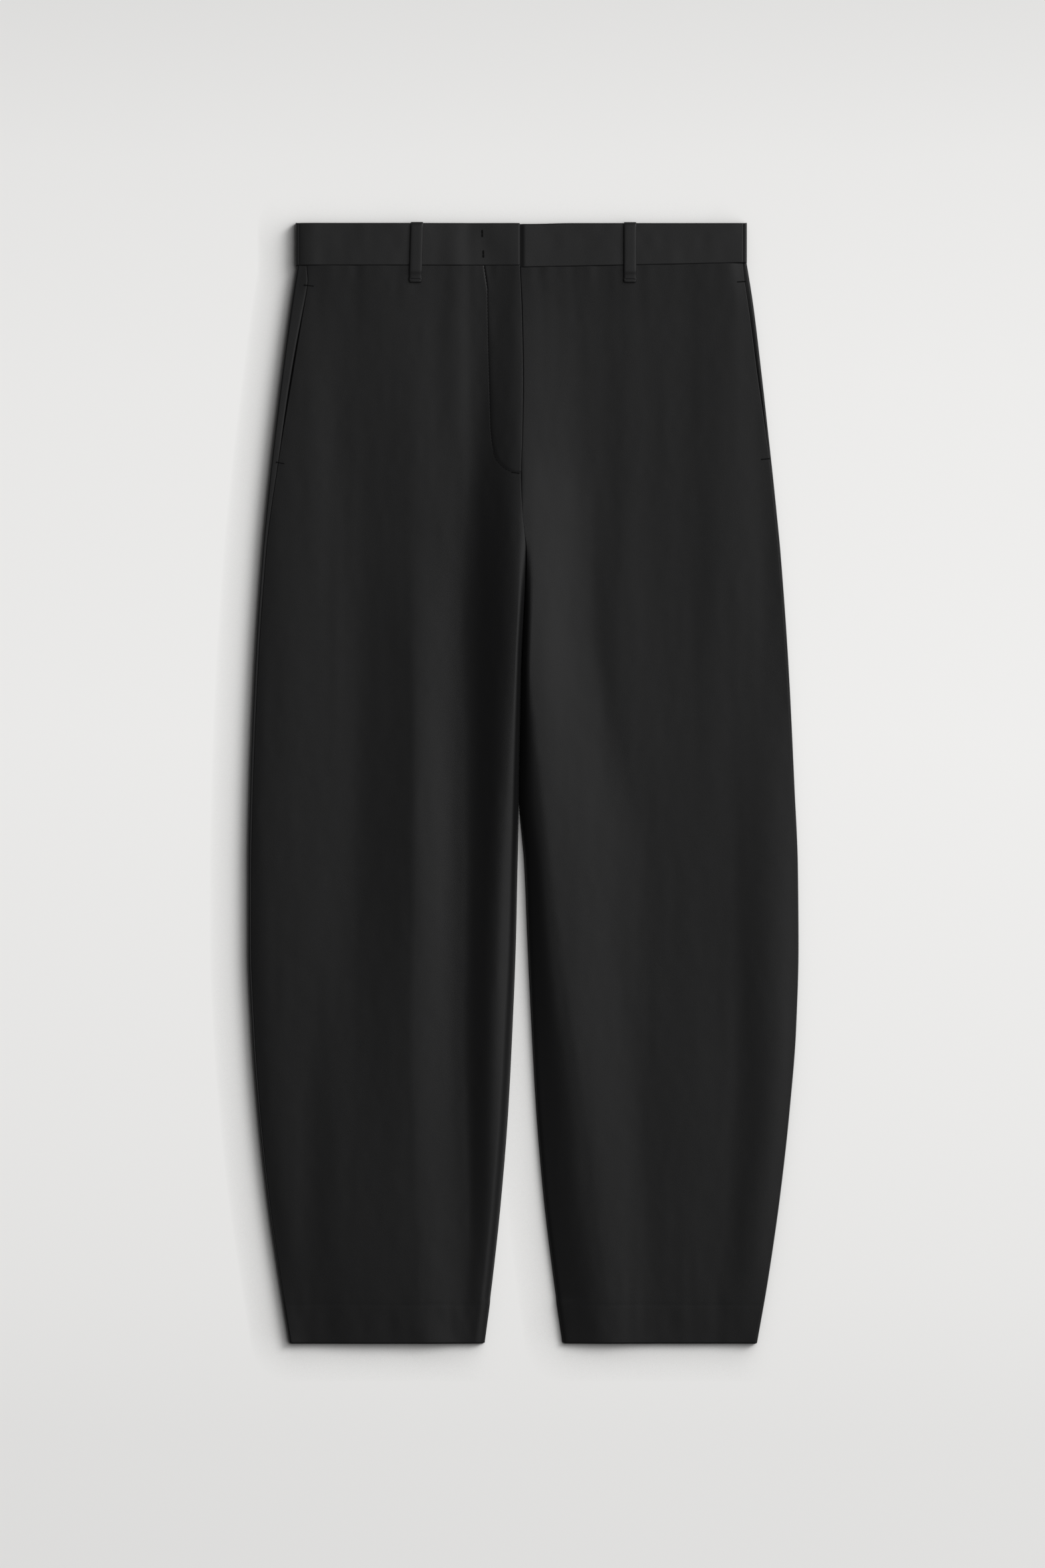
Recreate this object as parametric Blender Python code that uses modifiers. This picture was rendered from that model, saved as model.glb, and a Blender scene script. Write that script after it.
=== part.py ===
"""Tulip trousers laid flat, front up: high waistband, pleatless fronts, legs that narrow to the hem.

The floor is z = 0, the waist points to +Y and the hems to -Y, and the wearer's right is at -X.
Sizes in the tables are millimetres, and lengths along the garment are measured down from its top edge.
"""

import math
from collections import namedtuple

import bmesh
import bpy
import numpy as np

MM = 0.001
LENGTH = 1009.0  # waist edge to hem
BAND = 38.0  # depth of the waistband
CROTCH = 295.0  # front rise, waist edge to crotch seam
HEM_TURN = 35.0  # cloth turned up inside each hem
CLOTH = 1.4  # thickness of one wall
HEM_CLOTH = 2.2  # and where its hem is turned up
HEM_STEP = 10.0  # length over which it thickens
BAND_CLOTH = 2.0  # waistband, doubled cloth on a stiffener
FACING_CLOTH = 1.0
SEAM = 0.65  # gap between the outer faces at a side seam, which narrows to 0.3 inside
SEAM_FLAT = 0.3  # gap between flat pieces
LEG_GAP = 0.6  # between the two fronts where they meet
ROW_STEP = 34.0  # longest stretch between two rows of a panel

EDGE_ROUND = 3.0  # how far the side edge's rounding reaches in
EDGE_MIDDLE = 3.3  # height of the widest point of a leg's side edge
EDGE_HEIGHT = 5.9  # height of the cloth just inside a side edge
EDGE_SPRING = 11.0  # how far in the edge still draws the cloth to that height
INSEAM_ROUND = 4.5  # how far the steep part of the inseam edge's rounding reaches in
INSEAM_CLEAR = 0.5  # between the back's inner face and the front's turned-down inseam edge
INSEAM_LEAN = 0.25  # that edge leans in by this share of its thickness
INSEAM_SHARE = 0.35  # share of the rise from that edge that is steep
STEEP_START = 880.0  # between these two levels the whole rise becomes steep, for the thicker hem
STEEP_END = 960.0
FOLD_POWER = 2.0  # how a fold's sharp side falls away
TURN_START = 262.0  # the inseam edge turns down between these two levels
TURN_END = 330.0

FLY_UNDERLAP = 12.0  # how far the left front runs on beneath the fly
FLY_STEP = 0.5  # gap between the two layers at the fly
FLY_NARROW = 205.0  # the underlap narrows from here
FLY_GONE = 222.0  # and has ended here
FLY_LEVEL = 236.0  # the two fronts are level from here
BAND_SIDE = {"right": -205.0, "left": 201.6}  # x of the waistband's two ends, seen from the front
BAND_CLOSE = -3.5  # x of the folded end that laps over
BAND_UNDERLAP = 35.0  # how far the other end runs on beneath it
BAND_TOP = 7.8  # height of the waistband's outer face
BAND_UNDER = 4.9  # height of the end that runs on beneath the closure
BAND_MIDDLE = 3.9
BAND_SPRING = 20.0  # how far in from its ends the waistband follows the folds less
BAND_ROLL = 1.6  # rounding of the waistband's top edge, and how far it drops
BAND_DROP = 0.9
BAND_STRIP = 3.6  # how far the back waistband comes over at each side

MOUTH_TOP = 56.0  # pocket mouth, between its two tacks
MOUTH_BOTTOM = 215.0
LOOP_WIDTH = 10.0
LOOP_CLOTH = 1.6
LOOP_END = 53.0  # belt loop's lower end
LOOP_RISE = 2.0  # how far its fold stands past the waistband's top edge
MIDDLE = (LENGTH - LOOP_RISE) / 2  # level of the origin

# A row for each level: x of the side edges, and of the inseam edges or, above the crotch, the centre front
Level = namedtuple("Level", "down right_side right_inner left_inner left_side")
LEVELS = (
    Level(38, -203.7, -3.5, -2.9, 201.4),
    Level(78, -210.0, -1.7, -1.1, 207.8),
    Level(141, -218.4, -0.5, 0.1, 215.5),
    Level(195, -225.0, -1.3, -0.7, 221.5),
    Level(225, -228.4, -2.7, -2.1, 224.8),
    Level(258, -231.8, -1.2, -0.6, 228.2),
    Level(295, -235.2, 2.3, 2.9, 231.8),
    Level(399, -242.2, -1.6, -1.0, 239.2),
    Level(509, -246.6, -4.1, -3.4, 244.6),
    Level(579, -247.9, -5.6, 1.9, 247.6),
    Level(651, -247.9, -7.2, 4.9, 248.2),
    Level(726, -244.9, -10.2, 8.5, 246.0),
    Level(801, -239.2, -14.1, 12.8, 240.0),
    Level(876, -231.0, -20.1, 19.2, 231.6),
    Level(951, -220.0, -28.1, 28.3, 220.8),
    Level(1009, -210.5, -35.7, 36.7, 210.7),
)

# A row for each level: height of each front's outer face between its edges and folds
Rest = namedtuple("Rest", "down right left")
RESTS = (
    Rest(38, 7.3, 7.3),
    Rest(90, 6.4, 5.8),
    Rest(300, 6.4, 5.4),
    Rest(560, 6.4, 6.2),
    Rest(900, 6.6, 6.6),
    Rest(960, 6.2, 6.2),
    Rest(1009, 5.2, 5.2),
)

# A row for each level: how far in from its inner edge each front goes on rising
Inseam = namedtuple("Inseam", "down right left")
INSEAMS = (
    Inseam(300, 4.5, 4.5),
    Inseam(410, 4.5, 6),
    Inseam(465, 5, 9),
    Inseam(570, 6, 14),
    Inseam(680, 7, 22),
    Inseam(790, 8, 33),
    Inseam(900, 8, 38),
    Inseam(1009, 8, 42),
)

# A row for each level: how far in from each side edge its seam lies
Strip = namedtuple("Strip", "down right left")
STRIPS = (
    Strip(38, 9.0, 4.2),
    Strip(56, 13.0, 5.0),
    Strip(130, 10.6, 4.4),
    Strip(215, 7.0, 3.8),
    Strip(300, 4.2, 3.8),
    Strip(1009, 3.8, 3.8),
)
MOUTH_GAPE = {"right": 3.0, "left": 0.8}  # widest opening between mouth and side, halfway down

# The soft folds, each with a row for each level: its crest's x, its reach to each side, and its height
Crest = namedtuple("Crest", "down x left right height")
Fold = namedtuple("Fold", "side sharp_left sharp_right crests")
CENTRE_ROLL = (
    Crest(45, -3, 34, 20, 0.9),
    Crest(95, -3, 36, 20, 1.6),
    Crest(200, -3, 44, 22, 4.3),
    Crest(260, -3, 50, 24, 7.2),
    Crest(350, -4, 53, 26, 9.8),
    Crest(460, -12, 42, 26, 8.2),
    Crest(600, -21, 32, 26, 5.7),
    Crest(750, -26, 28, 26, 4.6),
    Crest(850, -28, 23, 24, 3.0),
    Crest(920, -31, 19, 22, 1.4),
    Crest(1009, -40, 18, 20, 0.3),
)
HIP_RIDGE = (
    Crest(45, -112, 76, 66, 2.0),
    Crest(150, -108, 72, 62, 1.9),
    Crest(300, -100, 60, 48, 1.1),
    Crest(420, -98, 50, 40, 0.0),
)
THIGH_RIDGE = (
    Crest(280, -100, 50, 40, 0.0),
    Crest(400, -99, 52, 40, 2.6),
    Crest(570, -99, 62, 39, 4.2),
    Crest(720, -101, 70, 42, 3.2),
    Crest(880, -97, 76, 44, 2.4),
    Crest(1009, -90, 96, 44, 3.0),
)
SIDE_LIFT = (
    Crest(60, -200, 36, 90, 1.5),
    Crest(200, -216, 38, 96, 2.0),
    Crest(360, -228, 40, 100, 2.4),
    Crest(600, -232, 40, 104, 2.6),
    Crest(760, -226, 40, 90, 1.8),
    Crest(900, -212, 40, 60, 1.0),
    Crest(1009, -200, 40, 60, 0.6),
)
SHIN_LIFT = (
    Crest(620, -150, 50, 70, 0.0),
    Crest(760, -156, 46, 75, 1.2),
    Crest(900, -158, 44, 80, 1.9),
    Crest(1009, -150, 50, 60, 1.6),
)
FLY_PLEAT = (
    Crest(45, -61, 20, 15, 0.7),
    Crest(140, -60, 22, 15, 0.6),
    Crest(240, -58, 18, 12, 0.0),
)
LEFT_ROLL = (
    Crest(45, 0, 12, 56, 0.4),
    Crest(95, 0, 12, 56, 2.0),
    Crest(200, 0, 14, 60, 4.2),
    Crest(260, 0, 14, 66, 7.2),
    Crest(360, 1, 16, 68, 9.2),
    Crest(460, 11, 30, 76, 7.9),
    Crest(560, 23, 40, 86, 7.2),
    Crest(680, 38, 60, 68, 5.2),
    Crest(800, 56, 70, 54, 3.8),
    Crest(900, 68, 80, 48, 2.8),
    Crest(1009, 80, 80, 44, 2.2),
)
HIP_FOLD = (
    Crest(230, 84, 26, 36, 0.0),
    Crest(350, 86, 26, 38, 0.6),
    Crest(430, 92, 26, 40, 0.6),
    Crest(540, 100, 26, 44, 0.0),
)
POCKET_FOLD = (
    Crest(50, 188, 50, 30, 0.4),
    Crest(150, 187, 52, 34, 1.6),
    Crest(280, 188, 50, 36, 1.7),
    Crest(430, 192, 46, 36, 0.0),
)
SIDE_RIDGE = (
    Crest(430, 225, 40, 24, 0.0),
    Crest(600, 225, 39, 40, 1.9),
    Crest(740, 225, 37, 40, 2.4),
    Crest(880, 215, 33, 40, 1.9),
    Crest(1009, 204, 30, 40, 0.6),
)
SHIN_FOLD = (
    Crest(680, 160, 66, 60, 0.0),
    Crest(800, 160, 66, 50, 0.5),
    Crest(1009, 156, 60, 50, 0.2),
)
FOLDS = (
    Fold("right", 0.0, 0.0, CENTRE_ROLL),
    Fold("right", 0.0, 0.0, HIP_RIDGE),
    Fold("right", 1.0, 0.0, THIGH_RIDGE),
    Fold("right", 0.0, 0.0, SIDE_LIFT),
    Fold("right", 0.0, 0.0, SHIN_LIFT),
    Fold("right", 0.0, 0.0, FLY_PLEAT),
    Fold("left", 0.0, 0.6, LEFT_ROLL),
    Fold("left", 0.0, 0.0, HIP_FOLD),
    Fold("left", 0.0, 0.0, POCKET_FOLD),
    Fold("left", 0.0, 0.0, SIDE_RIDGE),
    Fold("left", 0.0, 0.0, SHIN_FOLD),
)

# A row for each belt loop: x of its middle at the top and at the lower end
Loop = namedtuple("Loop", "side x_top x_end")
LOOPS = (Loop("right", -95.5, -96.9), Loop("left", 96.3, 96.2))
Turn = namedtuple("Turn", "down z")  # a point on a loop's outer face


def ramp(value, start, end):
    """0 before start, 1 after end, and a soft change between them."""
    t = min(1.0, max(0.0, (value - start) / (end - start)))
    return t * t * (3 - 2 * t)


def curve(rows, column, x):
    """Value at x of a smooth curve through one named column of a table, which never overshoots its rows."""
    stops = [row[0] for row in rows]
    values = [getattr(row, column) for row in rows]
    steps = np.diff(values) / np.diff(stops)
    inner = [2 * a * b / (a + b) if a * b > 0 else 0.0 for a, b in zip(steps, steps[1:])]
    slopes = [steps[0], *inner, steps[-1]]
    k = int(np.clip(np.searchsorted(stops, x) - 1, 0, len(stops) - 2))
    span = stops[k + 1] - stops[k]
    t = float(np.clip((x - stops[k]) / span, 0, 1))
    start = values[k] * (1 + 2 * t) + slopes[k] * span * t
    end = values[k + 1] * (3 - 2 * t) - slopes[k + 1] * span * (1 - t)
    return start * (1 - t) ** 2 + end * t**2


def wall(down):
    """Thickness of a panel at this level."""
    return HEM_CLOTH if down > LENGTH - HEM_TURN - HEM_STEP / 2 else CLOTH


def outward(side):
    return -1.0 if side == "right" else 1.0


def side_edge(side, down):
    return curve(LEVELS, side + "_side", down)


def inner_edge(side, down):
    """The left leg's inner edge never comes closer to the right leg's than LEG_GAP."""
    right = curve(LEVELS, "right_inner", down)
    return right if side == "right" else max(right + LEG_GAP, curve(LEVELS, "left_inner", down))


def strip_width(side, down):
    return curve(STRIPS, side, down)


def mouth_gap(side, down):
    """How far the pocket mouth gapes at this level."""
    t = (down - MOUTH_TOP) / (MOUTH_BOTTOM - MOUTH_TOP)
    return MOUTH_GAPE[side] * math.sin(math.pi * t) if 0 < t < 1 else 0.0


def seam_tilt(side, x, down, is_front):
    """The left waist seam runs slightly uphill to the side, and the levels below even it out."""
    if side == "right":
        return 0.0
    across = min(1.0, max(0.0, x / 201.4))
    tilt = (1.6 - 4.0 * across) if is_front else -2.4 * across
    return tilt * (1 - ramp(down, BAND, 130))


def fold_lift(side, x, down):
    """Height that the soft folds add at this place."""
    lift = 0.0
    for fold in FOLDS:
        if fold.side != side:
            continue
        offset = x - curve(fold.crests, "x", down)
        reach = curve(fold.crests, "left" if offset < 0 else "right", down)
        sharp = fold.sharp_left if offset < 0 else fold.sharp_right
        if abs(offset) < reach:
            u = abs(offset) / reach
            soft_shape = math.cos(math.pi / 2 * u) ** 2
            sharp_shape = (1 - u) ** FOLD_POWER
            shape = soft_shape + (sharp_shape - soft_shape) * sharp
            lift += curve(fold.crests, "height", down) * shape
    return lift


def rounded(distance, reach):
    """Rise of a quarter ellipse, from 0 at an edge to 1 where its rounding ends."""
    if distance >= reach:
        return 1.0
    return math.sqrt(max(0.0, 1 - (1 - distance / reach) ** 2))


def front_height(side, x, down):
    """Height of a front's outer face above the floor."""
    from_side = max(0.0, (side_edge(side, down) - x) * outward(side))
    from_inner = max(0.0, (x - inner_edge(side, down)) * outward(side))
    rest = curve(RESTS, side, down)
    z = rest + fold_lift(side, x, down) + (EDGE_HEIGHT - rest) * math.exp(-((from_side / EDGE_SPRING) ** 2))
    z = EDGE_MIDDLE + (z - EDGE_MIDDLE) * rounded(from_side, EDGE_ROUND)
    edge = wall(down) * (1 + INSEAM_LEAN) + INSEAM_CLEAR
    low = z + (edge - z) * ramp(down, TURN_START, TURN_END)
    steep = INSEAM_SHARE + (1 - INSEAM_SHARE) * ramp(down, STEEP_START, STEEP_END)
    slow = math.sin(math.pi / 2 * min(1.0, from_inner / curve(INSEAMS, side, down)))
    z = low + (z - low) * (steep * rounded(from_inner, INSEAM_ROUND) + (1 - steep) * slow)
    fly = inner_edge("right", down)
    if side == "left" and down < FLY_LEVEL:
        under = front_height("right", min(x, fly), down) - CLOTH - FLY_STEP
        clear = max(ramp(x - fly, 0.8, 5.5), ramp(down, FLY_GONE, FLY_LEVEL))
        z = under + (z - under) * clear
    return z


def levels_between(stops):
    """Rows from the first stop to the last, one at each stop and no two more than ROW_STEP apart."""
    rows = [stops[0]]
    for start, end in zip(stops, stops[1:]):
        count = math.ceil((end - start) / ROW_STEP)
        rows += [start + (end - start) * k / count for k in range(1, count + 1)]
    return rows


PANEL_ROWS = levels_between(
    (
        BAND + 0.4,
        MOUTH_TOP,
        FLY_NARROW,
        FLY_GONE,
        FLY_LEVEL,
        TURN_START,
        CROTCH,
        TURN_END,
        509.0,
        LENGTH - HEM_TURN - HEM_STEP,
        LENGTH - HEM_TURN,
        LENGTH - 2,
        LENGTH,
    )
)


def at(x, down, z):
    """World point for a place on the garment."""
    return (x * MM, (MIDDLE - down) * MM, z * MM)


def sheet(name, place, rows, columns, cloth, faces_up):
    """An open grid laid out by place(row, column) and thickened inwards."""
    bm = bmesh.new()
    bmesh.ops.create_grid(bm, x_segments=columns - 1, y_segments=rows - 1, size=1.0)
    for vert in bm.verts:
        column = round((vert.co.x + 1) / 2 * (columns - 1))
        row = round((vert.co.y + 1) / 2 * (rows - 1))
        vert.co = place(row, column)
    bm.normal_update()
    is_up = sum(face.normal.z * face.calc_area() for face in bm.faces) > 0
    if is_up != faces_up:
        bmesh.ops.reverse_faces(bm, faces=bm.faces)
    mesh = bpy.data.meshes.new(name)
    bm.to_mesh(mesh)
    bm.free()
    mesh.shade_smooth()
    piece = bpy.data.objects.new(name, mesh)
    garment.objects.link(piece)
    solid = piece.modifiers.new("cloth", "SOLIDIFY")
    solid.thickness = cloth * MM
    solid.offset = -1.0
    piece.data.materials.append(cloth_material(name))
    return piece


def turn_hem(panel):
    """Thicken a panel where its hem is turned up."""
    turned = panel.vertex_groups.new(name="hem")
    for vert in panel.data.vertices:
        down = MIDDLE - vert.co.y / MM
        turned.add([vert.index], wall(down) / HEM_CLOTH, "REPLACE")
    solid = panel.modifiers["cloth"]
    solid.thickness = HEM_CLOTH * MM
    solid.vertex_group = turned.name


def cloth_material(name):
    """Matt black suiting."""
    material = bpy.data.materials.new(name)
    material.use_nodes = True
    shader = material.node_tree.nodes["Principled BSDF"]
    shader.inputs["Base Color"].default_value = (0.017, 0.017, 0.018, 1.0)
    shader.inputs["Roughness"].default_value = 0.85
    shader.inputs["Metallic"].default_value = 0.0
    return material


# Fractions of a front's width at which its middle columns stand, closer together beside the inseam
FRONT_SPREAD = [(k / 20) ** 1.2 for k in range(1, 20)]
INNER_REACH = [INSEAM_ROUND * (1 - math.cos(math.pi / 2 * k / 5)) for k in range(6)]
SIDE_REACH = (14.0, 6.5, 2.5, 1.0, 0.0)


def front_panel(side):
    """One front, from the inseam or the centre front to the side seam."""
    out = outward(side)
    hidden = (1.0, 0.35, 0.05, 0.0, 0.0, 0.0)

    def place(row, column):
        down = PANEL_ROWS[row]
        inner = inner_edge(side, down)
        seam = strip_width(side, down) + SEAM
        width = (side_edge(side, down) - inner) * out - seam
        if column < len(INNER_REACH):
            across = INNER_REACH[column]
            if side == "left":
                lapped = 1 - ramp(down, FLY_NARROW - 2, FLY_GONE - 1)
                across -= (FLY_UNDERLAP + LEG_GAP) * hidden[column] * lapped
        elif column < len(INNER_REACH) + len(FRONT_SPREAD):
            share = FRONT_SPREAD[column - len(INNER_REACH)]
            across = INSEAM_ROUND + (width - INSEAM_ROUND - SIDE_REACH[0]) * share
        else:
            across = width - SIDE_REACH[column - len(INNER_REACH) - len(FRONT_SPREAD)]
        x = inner + out * across
        return at(x, down + seam_tilt(side, x, down, True), front_height(side, x, down))

    columns = len(INNER_REACH) + len(FRONT_SPREAD) + len(SIDE_REACH)
    turn_hem(sheet("front_" + side, place, len(PANEL_ROWS), columns, CLOTH, True))


def wrapped(side, edge, down, turn, strip, top_at, middle):
    """Point on a side edge: turn -1 is under it, 0 its widest point, and 1 the end of the strip on top."""
    out = outward(side)
    if turn <= 0:
        angle = math.pi / 2 * (1 + turn)
        x = edge - out * EDGE_ROUND * (1 - math.sin(angle))
        return x, middle * (1 - math.cos(angle))
    x = edge - out * strip * turn**2
    return x, top_at(x, down)


FLOOR_SHARE = (0.0, 0.3, 0.62, 0.9)
WRAP_TURNS = (-1.0, -0.66, -0.33, 0.0, 0.25, 0.5, 0.75, 1.0)


def back_panel(side):
    """One back: flat on the floor, round the side edge and a short way over the top to the side seam."""
    out = outward(side)

    def place(row, column):
        down = PANEL_ROWS[row]
        edge = side_edge(side, down)
        centre = ramp(down, BAND, CROTCH) * inner_edge(side, CROTCH) + out * SEAM_FLAT / 2
        start = centre if down < CROTCH else inner_edge(side, down)
        if column < len(FLOOR_SHARE):
            x = start + (edge - out * EDGE_ROUND - start) * FLOOR_SHARE[column]
            z = 0.0
        else:
            turn = WRAP_TURNS[column - len(FLOOR_SHARE)]
            strip = strip_width(side, down) - mouth_gap(side, down)
            top = lambda px, pd: front_height(side, px, pd)
            x, z = wrapped(side, edge, down, turn, strip, top, EDGE_MIDDLE)
        return at(x, down + seam_tilt(side, x, down, False), z)

    columns = len(FLOOR_SHARE) + len(WRAP_TURNS)
    turn_hem(sheet("back_" + side, place, len(PANEL_ROWS), columns, CLOTH, False))


# Shares of the waistband's depth at which its rows stand, closer together where its top edge is rounded
BAND_SHARE = (0.0, 0.5, 0.93, 0.975, 1.0)


def band_height(side, x, share):
    """Height of the waistband's outer face, rounded at its sides and its top edge."""
    from_side = max(0.0, (BAND_SIDE[side] - x) * outward(side))
    top = BAND_TOP + fold_lift(side, x, BAND) * rounded(from_side, BAND_SPRING)
    z = BAND_MIDDLE + (top - BAND_MIDDLE) * rounded(from_side, EDGE_ROUND)
    if side == "left":
        z = BAND_UNDER + (z - BAND_UNDER) * ramp(x, BAND_CLOSE + 0.9, BAND_CLOSE + 8.5)
    return z - BAND_DROP * (1 - rounded((1 - share) * BAND, BAND_ROLL)) * ramp(z, BAND_MIDDLE, BAND_TOP)


def band_down(side, x, share, is_front):
    """Level of a waistband row at x: its seam follows the panels', and its left end dips a little."""
    seam = BAND - 0.1 + seam_tilt(side, x, BAND, is_front)
    dip = 0.8 * (1 - ramp(x, 5, 45)) if side == "left" and is_front else 0.0
    return seam + (dip - seam) * share


def waistband_front(side):
    """Half of the front waistband, from the side seam to the closure."""
    out = outward(side)
    hidden = 0.0 if side == "right" else BAND_UNDERLAP
    end = BAND_CLOSE - hidden
    starts = [hidden + step for step in (0.0, 3.0, 6.0, 10.0)]
    if hidden:
        starts = [0.0, hidden / 2] + starts
    last = abs(BAND_SIDE[side] - end) - BAND_STRIP - SEAM
    middles = [starts[-1] + (last - 8 - starts[-1]) * k / 11 for k in range(1, 12)]
    reaches = starts + middles + [last]

    def place(row, column):
        x = end + out * reaches[column]
        share = BAND_SHARE[row]
        return at(x, band_down(side, x, share, True), band_height(side, x, share))

    name = "waistband_front_" + side
    sheet(name, place, len(BAND_SHARE), len(reaches), BAND_CLOTH, True)


def waistband_back():
    """The back waistband, flat on the floor and wrapped round both side edges."""
    half = len(WRAP_TURNS)

    def place(row, column):
        side = "right" if column < half else "left"
        share = BAND_SHARE[row]
        if half <= column < half + 3:
            x = (-100.0, 0.0, 100.0)[column - half]
            return at(x, band_down("left", x, share, False), 0.0)
        turn = WRAP_TURNS[half - 1 - column] if side == "right" else WRAP_TURNS[column - half - 3]
        top = lambda px, ps: band_height(side, px, ps)
        x, z = wrapped(side, BAND_SIDE[side], share, turn, BAND_STRIP, top, BAND_MIDDLE)
        return at(x, band_down(side, x, share, False), z)

    sheet("waistband_back", place, len(BAND_SHARE), 2 * half + 3, BAND_CLOTH, False)


def pocket_facing(side):
    """Cloth that backs the pocket mouth, seen in its gap."""
    out = outward(side)
    rows = levels_between((BAND + 6, MOUTH_TOP, 135.0, MOUTH_BOTTOM, MOUTH_BOTTOM + 9))

    def place(row, column):
        down = rows[row]
        edge = side_edge(side, down)
        reach = max(strip_width(side, down) - 5.5, EDGE_ROUND + CLOTH + 0.4)
        x = edge - out * (reach + (0.0, 7.0, 14.0, 22.0)[column])
        z = front_height(side, x, down) - CLOTH - 0.65
        return at(x, down + seam_tilt(side, x, down, True), z)

    sheet("pocket_facing_" + side, place, len(rows), 4, FACING_CLOTH, True)


def belt_loop(loop):
    """Flat strap over the waistband, folded down on it at the top and on the front below its seam."""
    beside = [loop.x_end + LOOP_WIDTH * share for share in (-0.5, 0.0, 0.5)]
    rest = max(front_height(loop.side, x, LOOP_END - 6) for x in beside) + LOOP_CLOTH + SEAM_FLAT
    lifted = max(fold_lift(loop.side, x, BAND) for x in beside)
    crest = BAND_TOP + lifted + LOOP_CLOTH + 1.3
    path = (
        Turn(LOOP_END, rest),
        Turn(LOOP_END - 3, rest + 0.3),
        Turn(LOOP_END - 6, rest + 0.5),
        Turn(BAND + 5, rest + 1.2),
        Turn(BAND - 3, crest),
        Turn(BAND * 0.5, crest + 0.2),
        Turn(4.0, crest),
        Turn(0.6, crest - 0.5),
        Turn(-1.2, crest - 2.0),
        Turn(-LOOP_RISE, crest - 4.2),
    )

    def place(row, column):
        down, z = path[row]
        t = (down - path[-1].down) / (LOOP_END - path[-1].down)
        x = loop.x_top + (loop.x_end - loop.x_top) * t + LOOP_WIDTH * (column / 2 - 0.5)
        return at(x, down, z)

    sheet("belt_loop_" + loop.side, place, len(path), 3, LOOP_CLOTH, True)


for old in list(bpy.data.objects):
    bpy.data.objects.remove(old)

garment = bpy.data.collections.new("tulip_trousers")
bpy.context.scene.collection.children.link(garment)

for wearer_side in ("right", "left"):
    front_panel(wearer_side)
    back_panel(wearer_side)
    waistband_front(wearer_side)
    pocket_facing(wearer_side)
waistband_back()
for strap in LOOPS:
    belt_loop(strap)
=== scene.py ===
"""Black tulip trousers laid flat, front up, seen from straight above.

The frame's floor is z = 0, the waist points to +Y, and the wearer's right is at -X.
Tables and functions work in millimetres; down is the distance from the waist's top edge along the garment.
"""

import math
from collections import namedtuple
from functools import partial

import bmesh
import bpy
import numpy as np
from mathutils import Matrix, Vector


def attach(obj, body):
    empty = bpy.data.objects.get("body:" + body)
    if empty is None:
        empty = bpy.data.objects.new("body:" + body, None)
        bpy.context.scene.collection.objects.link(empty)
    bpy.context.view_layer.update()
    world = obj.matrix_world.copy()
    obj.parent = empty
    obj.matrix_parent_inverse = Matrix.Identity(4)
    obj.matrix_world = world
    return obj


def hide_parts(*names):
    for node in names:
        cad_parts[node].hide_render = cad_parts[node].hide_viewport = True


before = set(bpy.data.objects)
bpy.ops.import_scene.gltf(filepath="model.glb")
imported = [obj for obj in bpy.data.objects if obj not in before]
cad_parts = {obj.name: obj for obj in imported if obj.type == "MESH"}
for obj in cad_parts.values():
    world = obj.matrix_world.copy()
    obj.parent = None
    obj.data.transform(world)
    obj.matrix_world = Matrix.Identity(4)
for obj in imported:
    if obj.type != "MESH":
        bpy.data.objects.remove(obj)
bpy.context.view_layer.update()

MM = 0.001

# Lengths and thicknesses
LENGTH = 1009.0  # from the waist's top edge to the hems
BAND = 38.0  # depth of the waistband
CROTCH = 295.0  # level where the legs part
HEM_TURN = 35.0  # depth of the turned-up hem
HEM_STEP = 8.0  # stretch over which the cloth thickens towards it
CLOTH = 1.3  # thickness of the fronts and backs
HEM_CLOTH = 2.1  # the same where the hem is turned up
BAND_CLOTH = 1.3
FACING_CLOTH = 1.0
LOOP_CLOTH = 1.7
LOOP_RISE = 2.0  # how far the solid belt loops reach past the waist's top edge
MIDDLE = (LENGTH - LOOP_RISE) / 2  # level of the frame's origin

# Side edges and seams
EDGE_ROUND = 1.8  # how far a side edge takes to round over
EDGE_MIDDLE = 2.8  # height of a side edge's widest point
EDGE_HEIGHT = 5.9  # height of a front beside its side edge
EDGE_SPRING = 11.0  # how far in from there a front keeps near that height
SEAM = 0.35  # width of a seam's groove between two pieces
CENTRE_SEAM = 0.3  # the same between the two backs
STRIP_DROP = 0.45  # how much lower the back lies than the front at their seam
SEAM_TUCK = 0.7  # how far a front runs in beneath the waistband's lower edge
SEAM_DIP = 1.1  # how much lower a front lies there
SEAM_DIP_REACH = 0.9  # how far below the waist seam the front has come up again
TILT_START = 1.6  # how low the left waist seam starts at centre front
TILT_RISE = 4.0  # how far it climbs from there to the side
TILT_END = 130.0  # level where the climb has evened out

# Inner edges and folds of the fronts
LEG_GAP = 0.6  # least gap between the two inner edges
INSEAM_ROUND = 4.5  # how far an inner edge takes to round over
INSEAM_TIGHT = 1.3  # the same where the two legs' rolls still touch
INSEAM_CLEAR = 0.5  # clearance of a leg's inner edge over its back
INSEAM_LEAN = 0.25  # share of its thickness that the cloth's lean adds there
INSEAM_SHARE = 0.35  # share of the rise that is steep, at the very edge
TURN_START = 280.0  # levels between which the inner edges turn down to the backs
TURN_END = 390.0
TOUCH_END = 520.0  # level where the two legs' rolls have parted
FOLD_POWER = 2.0  # how steeply a sharp fold falls from its crest

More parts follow.
